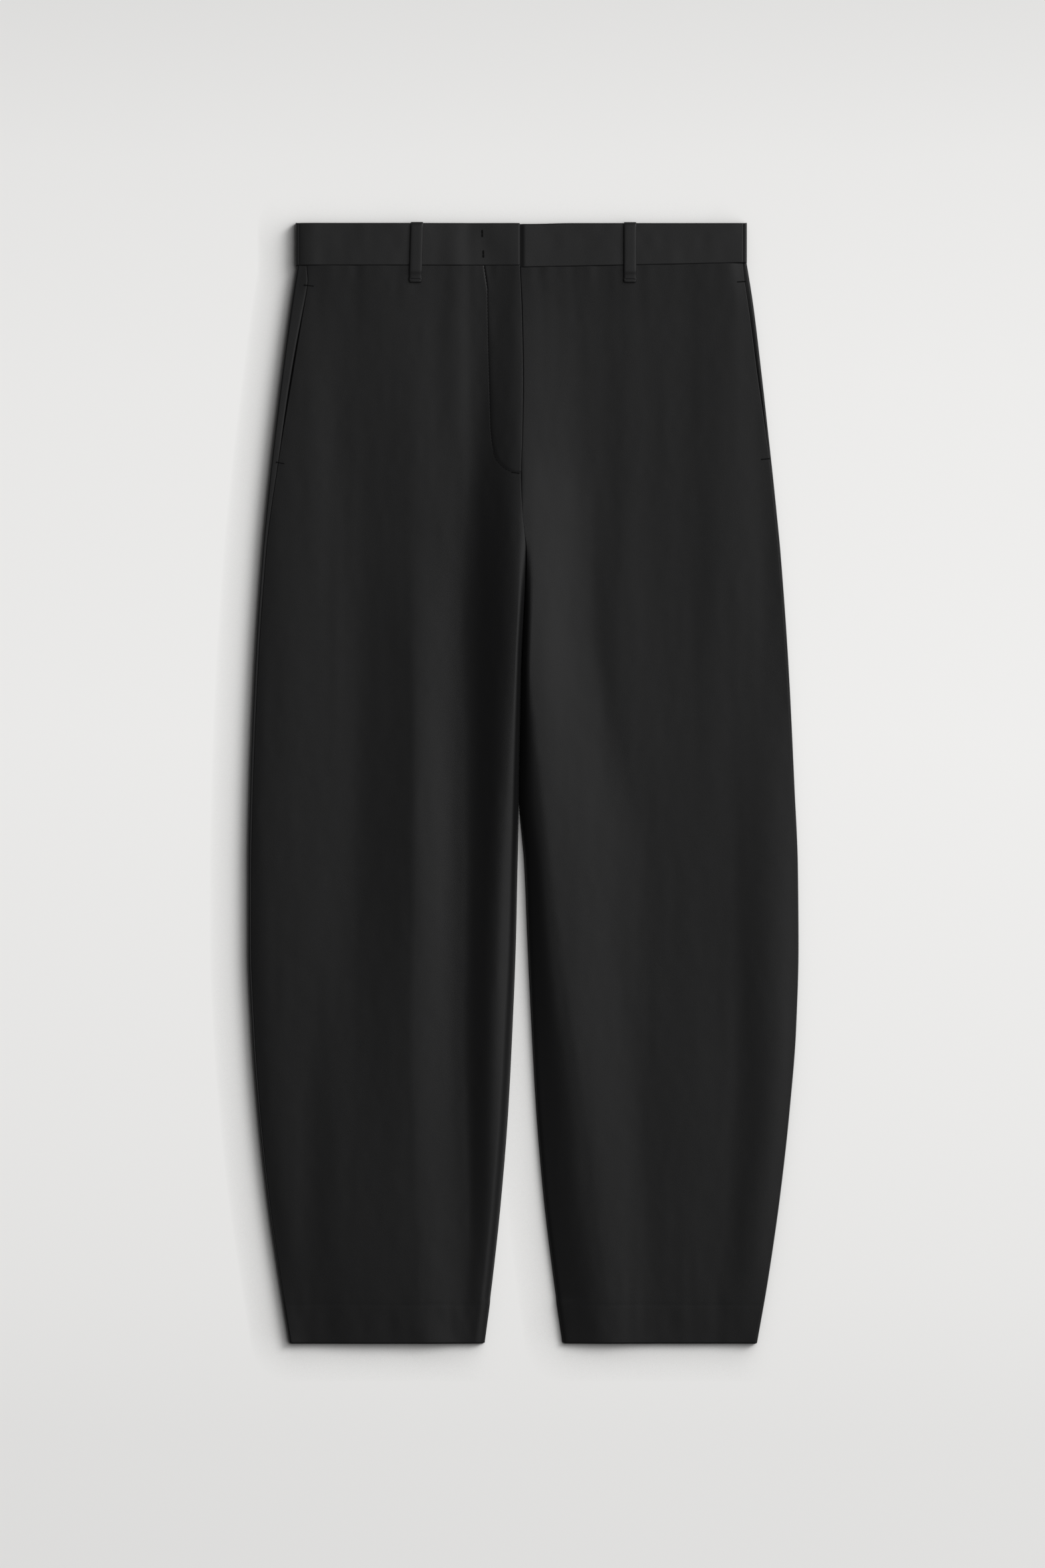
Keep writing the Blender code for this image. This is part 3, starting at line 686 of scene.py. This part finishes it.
def suiting(name, colour, specular):
    """Matt black cloth with a fine steep twill, a little slub and a faint sheen."""
    material = bpy.data.materials.new(name)
    material.use_nodes = True
    nodes = material.node_tree.nodes
    links = material.node_tree.links
    shader = nodes["Principled BSDF"]
    gloss = {"Roughness": CLOTH_ROUGHNESS, "Specular IOR Level": specular}
    sheen = {"Sheen Weight": SHEEN, "Sheen Roughness": SHEEN_ROUGHNESS}
    set_sockets(shader, gloss | sheen)
    place = nodes.new("ShaderNodeTexCoord")
    twist = node_new(nodes, "ShaderNodeMapping", {"Rotation": (0, 0, TWILL_TURN)})
    links.new(place.outputs["Object"], twist.inputs["Vector"])
    bands = {"Scale": 2 * math.pi / WAVE_NODE_TURN / TWILL_PITCH, "Distortion": TWILL_WAVER}
    twill = node_new(nodes, "ShaderNodeTexWave", bands, wave_type="BANDS", bands_direction="X")
    links.new(twist.outputs["Vector"], twill.inputs["Vector"])
    slub = node_new(nodes, "ShaderNodeTexNoise", {"Scale": SLUB_SCALE, "Detail": SLUB_DETAIL})
    links.new(place.outputs["Object"], slub.inputs["Vector"])
    cloud = node_new(nodes, "ShaderNodeTexNoise", {"Scale": CLOUD_SCALE, "Detail": CLOUD_DETAIL})
    links.new(place.outputs["Object"], cloud.inputs["Vector"])
    dark, light = [(*[c * share for c in colour], 1) for share in SLUB_TONES]
    tone = node_new(nodes, "ShaderNodeMix", {"A": dark, "B": light}, data_type="RGBA")
    links.new(slub.outputs["Fac"], tone.inputs["Factor"])
    shade = node_new(nodes, "ShaderNodeMix", {"Factor": CLOUD_SHARE}, data_type="RGBA", blend_type="MULTIPLY")
    links.new(tone.outputs["Result"], shade.inputs["A"])
    links.new(cloud.outputs["Fac"], shade.inputs["B"])
    links.new(shade.outputs["Result"], shader.inputs["Base Color"])
    ribs = node_new(nodes, "ShaderNodeBump", {"Strength": RIB_STRENGTH, "Distance": RIB_DEPTH})
    links.new(twill.outputs["Fac"], ribs.inputs["Height"])
    grain = node_new(nodes, "ShaderNodeBump", {"Strength": GRAIN_STRENGTH, "Distance": GRAIN_DEPTH})
    links.new(slub.outputs["Fac"], grain.inputs["Height"])
    links.new(ribs.outputs["Normal"], grain.inputs["Normal"])
    links.new(grain.outputs["Normal"], shader.inputs["Normal"])
    return material


def plain(name, colour, roughness, specular):
    material = bpy.data.materials.new(name)
    material.use_nodes = True
    finish = {"Base Color": (*colour, 1), "Roughness": roughness, "Specular IOR Level": specular}
    set_sockets(material.node_tree.nodes["Principled BSDF"], finish)
    return material


CLOTH_BLACK = suiting("suiting", (0.0024, 0.0024, 0.0026), CLOTH_SPECULAR)
# The waistband and belt loops take a lighter copy of the cloth: painted light, for the light that falls on
# the band
BAND_BLACK_PAINTED_LIGHT = suiting("waistband_suiting_painted_light", (0.0062, 0.0062, 0.0064), CLOTH_SPECULAR)
# The pocket facings take a darker, less glossy copy of the cloth: painted shade in the pocket mouths
FACING_BLACK_PAINTED_SHADE = suiting("facing_suiting_painted_shade", (0.0014, 0.0014, 0.0015), FACING_SPECULAR)
THREAD_BLACK = plain("thread", (0.004, 0.004, 0.004), THREAD_ROUGHNESS, THREAD_SPECULAR)


def spread(start, end, step):
    """Evenly spaced places from start to end, no further apart than step."""
    return np.linspace(start, end, max(2, math.ceil(abs(end - start) / step) + 1))


def spread_all(stretches):
    return np.concatenate([spread(*stretch) for stretch in stretches])


def panel_rows():
    """Levels of a panel's rows, closer together at the waist seam, the fly's end and the hem."""
    return np.unique(np.round(spread_all(PANEL_STRETCHES), 4))[:, None]


def front_panel(side):
    out = outward(side)
    down = panel_rows()
    inner = inner_edge(side, down)
    seam = curve(STRIPS, side, down) + SEAM
    width = (side_edge(side, down) - inner) * out - seam
    start = inseam_round(down) * (1 - np.cos(EDGE_TURNS))[None, :]
    if side == "left":
        hidden = np.clip(1 - np.arange(len(EDGE_TURNS)) / UNDERLAP_COLUMNS, 0, 1) ** UNDERLAP_CROWD
        start = start - FLY_UNDERLAP * hidden[None, :] * (1 - ramp(down, FLY_NARROW, FLY_GONE))
    first = inseam_round(down)
    if side == "right":
        rows = [p for p in FLY_STITCH if p.down < FLY_CORNER]
        level = np.minimum(down, rows[-1].down)
        stitch = inner_edge(side, level) - np.interp(level, [p.down for p in rows], [p.x for p in rows])
        beside = stitch + np.array(STITCH_COLUMNS)[None, :]
        lap_shares = np.arange(1, LAP_COLUMNS + 1) / (LAP_COLUMNS + 1)
        lap = first + (beside[:, :1] - first) * lap_shares[None, :]
        start = np.concatenate([start, lap, beside], axis=1)
        first = beside[:, -1:]
    share = (np.arange(1, PANEL_COLUMNS[side] + 1) / (PANEL_COLUMNS[side] + 1)) ** PANEL_CROWD
    middle = first + (width - first - SIDE_COLUMNS[0]) * share[None, :]
    across = np.concatenate([start, middle, width - np.array(SIDE_COLUMNS)[None, :]], axis=1)
    x = inner + out * across
    down = down + 0.0 * x
    grid = at(x, down + seam_tilt(side, x, down, True), front_height(side, x, down))
    return shell("suiting_front_" + side, grid, wall(down), True, CLOTH_BLACK)


def wrapped(side, edge, level, turn, strip, top_at, middle):
    """Points on a side edge: turn -1 is under it, 0 its widest point, and 1 the end of the strip on top.

    top_at gives the height of what the strip continues, for an x and a level.
    """
    out = outward(side)
    angle = math.pi / 2 * (1 + np.minimum(turn, 0))
    x_under = edge - out * EDGE_ROUND * (1 - np.sin(angle))
    z_under = middle * (1 - np.cos(angle))
    x_over = edge - out * strip * np.maximum(turn, 0) ** 2
    z_over = top_at(x_over, level) - STRIP_DROP * np.maximum(turn, 0) ** 3
    return np.where(turn <= 0, x_under, x_over), np.where(turn <= 0, z_under, z_over)


def back_panel(side):
    out = outward(side)
    down = panel_rows()
    edge = side_edge(side, down)
    centre = ramp(down, BAND, CROTCH) * inner_edge(side, CROTCH) + out * CENTRE_SEAM / 2
    start = np.where(down < CROTCH, centre, inner_edge(side, down))
    floor_share = np.linspace(0, 1, FLOOR_COLUMNS, endpoint=False)[None, :]
    floor_x = start + (edge - out * EDGE_ROUND - start) * floor_share
    strip = curve(STRIPS, side, down) - mouth_gap(side, down)
    x, z = wrapped(side, edge, down, WRAP_TURNS[None, :], strip, partial(front_height, side), EDGE_MIDDLE)
    x = np.concatenate([floor_x, x], axis=1)
    z = np.concatenate([0.0 * floor_x, z], axis=1)
    down = down + 0.0 * x
    grid = at(x, down + seam_tilt(side, x, down, False), z)
    return shell("suiting_back_" + side, grid, wall(down), False, CLOTH_BLACK)


def band_height(side, x, share):
    """Height of the waistband's outer face, rounded at its sides and both long edges."""
    from_side = np.maximum(0.0, (BAND_SIDE[side] - x) * outward(side))
    z = BAND_MIDDLE + (BAND_TOP - BAND_MIDDLE) * rounded(from_side, EDGE_ROUND)
    down = BAND * (1 - share)
    uneven = waves(BAND_SEED[side], BAND_WAVE, x, down) + waves(BAND_SEED[side] + 1, BAND_PUCKER, x, down)
    z = z + fold_lift(side, x, BAND) * rounded(from_side, BAND_SPRING)
    z = z + rounded(from_side, BAND_FADE) * uneven
    if side == "left":
        over = BAND_TOP + fold_lift("right", np.minimum(x, BAND_CLOSE), BAND)
        rise_end = BAND_CLOSE + BAND_RISE_END
        under = np.where(x < rise_end, over - BAND_CLOTH - BAND_CLEAR, z)
        z = under + (z - under) * ramp(x, BAND_CLOSE + BAND_RISE_START, rise_end)
    top_drop = BAND_DROP * (1 - rounded((1 - share) * BAND, BAND_ROLL))
    seam_drop = SEAM_DROP * (1 - rounded(share * BAND, SEAM_ROLL))
    return z - (top_drop + seam_drop) * ramp(z, BAND_MIDDLE, BAND_TOP - 1)


def band_down(side, x, share, is_front):
    """Level of a share of the waistband's depth, which is 0 at the waist seam and 1 at the top edge."""
    seam = BAND - BAND_GAP + seam_tilt(side, x, BAND, is_front)
    dip = CLOSE_DIP * (1 - ramp(x, CLOSE_DIP_START, CLOSE_DIP_END)) if side == "left" else 0.0
    from_side = np.abs(BAND_SIDE[side] - x)
    hidden = 0.0 if is_front else BACK_DIP * ramp(from_side, BACK_DIP_START, BACK_DIP_END)
    return seam + (dip + hidden - seam) * share


def waistband_front(side):
    """One front of the waistband, with its columns closer together towards both ends."""
    out = outward(side)
    hidden = 0.0 if side == "right" else BAND_UNDERLAP
    end = BAND_CLOSE - hidden
    last = abs(BAND_SIDE[side] - end) - BAND_STRIP - SEAM
    stretches = (
        Stretch(0, hidden + 12, 1.2),
        Stretch(hidden + 14, last - 5, 2.4),
        Stretch(last - 4, last, 0.7),
    )
    x = end + out * spread_all(stretches)[None, :]
    share = BAND_SHARES[:, None] + 0.0 * x
    x = x + 0.0 * share
    grid = at(x, band_down(side, x, share, True), band_height(side, x, share))
    return shell("waistband_cloth_front_" + side, grid, BAND_CLOTH, True, BAND_BLACK_PAINTED_LIGHT)


def waistband_back():
    """The back of the waistband, from its strip over the right side, along the floor, to the left side's."""
    share = BAND_SHARES[:, None]
    sides = []
    for side, turns in (("right", WRAP_TURNS[::-1]), ("left", WRAP_TURNS)):
        turns = turns[None, :] + 0.0 * share
        top_at = partial(band_height, side)
        x, z = wrapped(side, BAND_SIDE[side], share, turns, BAND_STRIP, top_at, BAND_MIDDLE)
        sides.append((x, band_down(side, x, share, False), z))
    floor_x = np.linspace(*BAND_FLOOR, BAND_FLOOR_COLUMNS)[None, :] + 0.0 * share
    floor = (floor_x, band_down("left", floor_x, share, False), 0.0 * floor_x)
    x, down, z = [np.concatenate(parts, axis=1) for parts in zip(sides[0], floor, sides[1])]
    return shell("waistband_cloth_back", at(x, down, z), BAND_CLOTH, False, BAND_BLACK_PAINTED_LIGHT)


def pocket_facing(side):
    """Strip of cloth beneath a pocket mouth, in a darker, less glossy copy of the cloth: painted shade in the
    mouth's gap.
    """
    out = outward(side)
    down = spread(*FACING_STRETCH)[:, None]
    edge = side_edge(side, down)
    reach = np.maximum(curve(STRIPS, side, down) - FACING_OUT, EDGE_ROUND + CLOTH + FACING_INSIDE)
    x = edge - out * (reach + np.linspace(0, FACING_WIDTH, FACING_COLUMNS)[None, :])
    down = down + 0.0 * x
    z = front_height(side, x, down) - CLOTH - FACING_GAP
    grid = at(x, down + seam_tilt(side, x, down, True), z)
    return shell("pocket_facing_cloth_" + side, grid, FACING_CLOTH, True, FACING_BLACK_PAINTED_SHADE)


def belt_loop(loop):
    """Flat strap over the waistband with a folded lower end."""
    beside = loop.x_end + LOOP_WIDTH * np.array([-0.5, 0.0, 0.5])
    front = float(front_height(loop.side, beside, np.full(3, LOOP_END - 6)).max())
    rest = front + LOOP_CLOTH + LOOP_LIFT
    crest = BAND_TOP + float(fold_lift(loop.side, beside, BAND).max()) + LOOP_CLOTH + LOOP_ARCH
    path = (
        Turn(1.0 - LOOP_RISE, crest - 3.4),
        Turn(-0.6, crest - 2.0),
        Turn(0.8, crest - 0.6),
        Turn(4.0, crest),
        Turn(BAND * 0.5, crest + 0.2),
        Turn(BAND - 3, crest),
        Turn(BAND + 5, rest + 1.2),
        Turn(LOOP_END - 6, rest + 0.5),
        Turn(LOOP_END - 3, rest + 0.3),
        Turn(LOOP_END, rest),
    )
    down = spread_all(LOOP_STRETCHES)
    t = (down - down[0]) / (down[-1] - down[0])
    across = np.linspace(-0.5, 0.5, LOOP_COLUMNS)
    x = (loop.x_top + (loop.x_end - loop.x_top) * t)[:, None] + LOOP_WIDTH * across[None, :]
    crown = LOOP_CROWN * (1 - (2 * across) ** 4)[None, :]
    fold_line = -LOOP_FOLD_DEPTH * bell(down - LOOP_END + LOOP_FOLD, LOOP_FOLD_WIDTH)[:, None]
    z = curve(path, "z", down)[:, None] + crown + fold_line * (np.abs(across) < LOOP_FOLD_SPAN)[None, :]
    grid = at(x, down[:, None] + 0.0 * x, z - LOOP_CROWN)
    return shell("belt_loop_cloth_" + loop.side, grid, LOOP_CLOTH, True, BAND_BLACK_PAINTED_LIGHT)


# Sewing thread: the rings of points along a stitch, and how thick it is at its two ends
THREAD_RINGS = (0.0, 0.12, 0.5, 0.88, 1.0)
THREAD_SIDES = 6
THREAD_TIP = 0.35
PLACE_STEP = 1.0  # millimetres between places along the topstitching
STITCH_PLACES = 3  # from a stitch to the next one, which leaves one of them free
FLY_THREAD = 0.00022  # radius in metres, as below
FLY_THREAD_BOW = 0.00012
FLY_THREAD_RISE = 0.02
TACK_THREAD = 0.00028
TACK_BOW = 0.00035
TACK_RISE = 0.05
TACK_STITCHES = 13
TACK_HALF = 0.5
TACK_LEAN = 0.25
MARK_THREAD = 0.0003
MARK_BOW = 0.0003
MARK_RISE = 0.05


def thread(name, runs, radius):
    """One piece of short thread stitches, each a slightly bowed tube."""
    bm = bmesh.new()
    for start, end, bow in runs:
        start = Vector(start)
        end = Vector(end)
        along = (end - start).normalized()
        across = along.cross(Vector((0, 0, 1))).normalized()
        up = across.cross(along)
        loops = []
        for t in THREAD_RINGS:
            centre = start.lerp(end, t) + Vector((0, 0, bow * math.sin(math.pi * t)))
            size = radius * (THREAD_TIP if t in (0.0, 1.0) else 1.0)
            angles = [math.tau * k / THREAD_SIDES for k in range(THREAD_SIDES)]
            places = [centre + (across * math.cos(a) + up * math.sin(a)) * size for a in angles]
            loops.append([bm.verts.new(place) for place in places])
        for a, b in zip(loops, loops[1:]):
            for k in range(THREAD_SIDES):
                after = (k + 1) % THREAD_SIDES
                bm.faces.new((a[k], a[after], b[after], b[k]))
        bm.faces.new(reversed(loops[0]))
        bm.faces.new(loops[-1])
    bmesh.ops.recalc_face_normals(bm, faces=bm.faces)
    mesh = bpy.data.meshes.new(name)
    bm.to_mesh(mesh)
    bm.free()
    piece = piece_of(mesh, THREAD_BLACK)
    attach(piece, "root")


def on_front(side, x, down, above):
    """World point on a front's outer face, raised this far above it."""
    tilt = float(seam_tilt(side, np.array(x), np.array(down), True))
    z = float(front_height(side, x, down)) + above
    return (x * MM, (MIDDLE - down - tilt) * MM, z * MM)


def on_band(x, down, above):
    """The same on the right front waistband."""
    z = float(band_height("right", np.array(x), np.array(1 - down / BAND))) + above
    return (x * MM, (MIDDLE - down) * MM, z * MM)


def along_path(points, step):
    """Places every step along a polyline of Stitch points."""
    xs = np.array([p.x for p in points])
    downs = np.array([p.down for p in points])
    lengths = np.concatenate([[0], np.cumsum(np.hypot(np.diff(xs), np.diff(downs)))])
    places = np.arange(0, lengths[-1], step)
    return np.interp(places, lengths, xs), np.interp(places, lengths, downs)


def fly_stitching():
    xs, downs = along_path(FLY_STITCH, PLACE_STEP)
    runs = []
    for k in range(1, len(xs) - STITCH_PLACES, STITCH_PLACES):
        last = k + STITCH_PLACES - 1
        start = on_front("right", xs[k], downs[k], FLY_THREAD_RISE)
        end = on_front("right", xs[last], downs[last], FLY_THREAD_RISE)
        runs.append((start, end, FLY_THREAD_BOW))
    thread("stitching_fly", runs, FLY_THREAD)


def bar_tack(tack):
    """A bar of close stitches, laid across its length."""
    runs = []
    for k in range(TACK_STITCHES):
        t = k / (TACK_STITCHES - 1)
        x = tack.x_start + (tack.x_end - tack.x_start) * t
        down = tack.down_start + (tack.down_end - tack.down_start) * t
        lean = TACK_LEAN if k % 2 else -TACK_LEAN
        start = on_front(tack.side, x - lean, down - TACK_HALF, TACK_RISE)
        end = on_front(tack.side, x + lean, down + TACK_HALF, TACK_RISE)
        runs.append((start, end, TACK_BOW))
    thread(tack.name, runs, TACK_THREAD)


def band_marks():
    """Two short upright rows of thread where the hook is sewn on inside."""
    runs = []
    for mark in MARKS:
        middle = (mark.down_start + mark.down_end) / 2
        for lane in MARK_LANES:
            for ends in ((mark.down_start, middle), (middle, mark.down_end)):
                start, end = [on_band(mark.x + lane, down, MARK_RISE) for down in ends]
                runs.append((start, end, MARK_BOW))
    thread("stitching_hook", runs, MARK_THREAD)


band_back = waistband_back()
settle(band_back, "waistband_back")
for side in ("right", "left"):
    front = front_panel(side)
    settle(front, "front_" + side)
    back = back_panel(side)
    settle(back, "back_" + side)
    band = waistband_front(side)
    settle(band, "waistband_front_" + side)
    facing = pocket_facing(side)
    settle(facing, "pocket_facing_" + side)
for loop in LOOPS:
    strap = belt_loop(loop)
    settle(strap, "belt_loop_" + loop.side)
fly_stitching()
band_marks()
for tack in TACKS:
    bar_tack(tack)

# Floor and lights, in metres; a height and a turn give the direction of a light
FLOOR_GREY = (0.875, 0.87, 0.86)
FLOOR_ROUGHNESS = 0.9
FLOOR_SPECULAR = 0.1
FLOOR_SIZE = 8.0
FLOOR_GAP = 0.0002  # between the floor and the cloth
# Painted shadow on the paper beside the cloth, on the side away from the light
SHADE_HEIGHT = math.radians(20)
SHADE_REACH = 0.035
SHADE_DEPTH = 1.25
SHADE_SAMPLES = 8
SUN_TURN = math.radians(33)
SUN_HEIGHT = math.radians(30)
SUN_WIDTH = math.radians(24)
SUN_POWER = 2.5
SOFT_TURN = math.radians(20)
SOFT_HEIGHT = math.radians(64)
SOFT_DISTANCE = 9.0
SOFT_SIZE = 6.4
SOFT_POWER = 440
ROOM_POWER = 0.14
FLOOR_SPAN = 1400.0  # stretch of floor, in millimetres, that the shades below are spread over

# A row for each level of the floor: the share of its grey that shows there, a painted shade for the light
# falling off towards both ends
Shade = namedtuple("Shade", "down share")
FLOOR_SHADES = (
    Shade(-196, 0.88),
    Shade(-60, 0.945),
    Shade(140, 0.98),
    Shade(460, 1.0),
    Shade(800, 0.965),
    Shade(960, 0.94),
    Shade(1090, 0.90),
    Shade(1204, 0.89),
)


def toward(height, turn):
    """Direction of a light at this height above the floor, turned this far from +X towards +Y."""
    return Vector((math.cos(height) * math.cos(turn), math.cos(height) * math.sin(turn), math.sin(height)))


def floor_paper():
    """Pale paper, with painted shade towards both ends where the light falls off, and a painted shadow beside
    the cloth on the side away from the light.
    """
    material = plain("floor_paper", FLOOR_GREY, FLOOR_ROUGHNESS, FLOOR_SPECULAR)
    nodes = material.node_tree.nodes
    links = material.node_tree.links
    place = nodes.new("ShaderNodeTexCoord")
    parts = nodes.new("ShaderNodeSeparateXYZ")
    links.new(place.outputs["Object"], parts.inputs["Vector"])
    # Painted shade: the paper darkens towards both ends, where the light falls off
    top = FLOOR_SHADES[0].down
    ends = {"From Min": (MIDDLE - top) * MM, "From Max": (MIDDLE - top - FLOOR_SPAN) * MM}
    span = node_new(nodes, "ShaderNodeMapRange", ends)
    links.new(parts.outputs["Y"], span.inputs["Value"])
    greys = nodes.new("ShaderNodeValToRGB")
    stops = greys.color_ramp.elements
    stops[0].position = 0.0
    stops[1].position = 1.0
    for shade in FLOOR_SHADES[1:-1]:
        stops.new((shade.down - top) / FLOOR_SPAN)
    for stop, shade in zip(stops, FLOOR_SHADES):
        stop.color = (*[c * shade.share for c in FLOOR_GREY], 1)
    links.new(span.outputs["Result"], greys.inputs["Fac"])
    # Painted shadow: the paper darkens where the cloth blocks the sky towards the light
    reach = {"Distance": SHADE_REACH}
    open_sky = node_new(nodes, "ShaderNodeAmbientOcclusion", reach, samples=SHADE_SAMPLES)
    lean = node_new(nodes, "ShaderNodeCombineXYZ", dict(zip("XYZ", toward(SHADE_HEIGHT, SUN_TURN))))
    links.new(lean.outputs["Vector"], open_sky.inputs["Normal"])
    depth = node_new(nodes, "ShaderNodeMath", {1: SHADE_DEPTH}, operation="POWER")
    links.new(open_sky.outputs["AO"], depth.inputs[0])
    shaded = node_new(nodes, "ShaderNodeMix", {"Factor": 1.0}, data_type="RGBA", blend_type="MULTIPLY")
    links.new(greys.outputs["Color"], shaded.inputs["A"])
    links.new(depth.outputs["Value"], shaded.inputs["B"])
    links.new(shaded.outputs["Result"], nodes["Principled BSDF"].inputs["Base Color"])
    return material


def hang(light, power, direction, distance):
    """Put the light this far from the origin in this direction, shining back at the origin."""
    light.energy = power
    lamp = bpy.data.objects.new(light.name, light)
    lamp.location = direction * distance
    lamp.rotation_euler = (-direction).to_track_quat("-Z", "Y").to_euler()
    bpy.context.scene.collection.objects.link(lamp)


bpy.ops.mesh.primitive_plane_add(size=FLOOR_SIZE, location=(0, 0, -FLOOR_GAP))
floor = bpy.context.object
floor.name = "floor"
floor.data.materials.append(floor_paper())

sun = bpy.data.lights.new("key", "SUN")
sun.angle = SUN_WIDTH
hang(sun, SUN_POWER, toward(SUN_HEIGHT, SUN_TURN), 0.0)
soft = bpy.data.lights.new("soft", "AREA")
soft.size = SOFT_SIZE
hang(soft, SOFT_POWER, toward(SOFT_HEIGHT, SOFT_TURN), SOFT_DISTANCE)
world = bpy.data.worlds.new("soft_room")
world.use_nodes = True
set_sockets(world.node_tree.nodes["Background"], {"Color": (1, 1, 1, 1), "Strength": ROOM_POWER})
bpy.context.scene.world = world
bpy.context.scene.view_settings.view_transform = "Standard"

# Camera, straight above
IMAGE = (1568, 2353)
PIXEL = 0.0006  # metres of cloth that one pixel of the photograph spans
WAIST_PIXEL = (784.85, 335.0)  # where the photograph shows the middle of the waist's top edge
CAMERA_HEIGHT = 6.0
CLOTH_LEVEL = 0.006
SENSOR = 36.0
origin_pixel = (WAIST_PIXEL[0], WAIST_PIXEL[1] + MIDDLE * MM / PIXEL)
camera = bpy.data.objects.new("camera", bpy.data.cameras.new("camera"))
camera.location = (
    (IMAGE[0] / 2 - origin_pixel[0]) * PIXEL,
    (origin_pixel[1] - IMAGE[1] / 2) * PIXEL,
    CLOTH_LEVEL + CAMERA_HEIGHT,
)
camera.data.sensor_fit = "VERTICAL"
camera.data.sensor_height = SENSOR
camera.data.lens = SENSOR * CAMERA_HEIGHT / (IMAGE[1] * PIXEL)
bpy.context.scene.collection.objects.link(camera)
bpy.context.scene.camera = camera
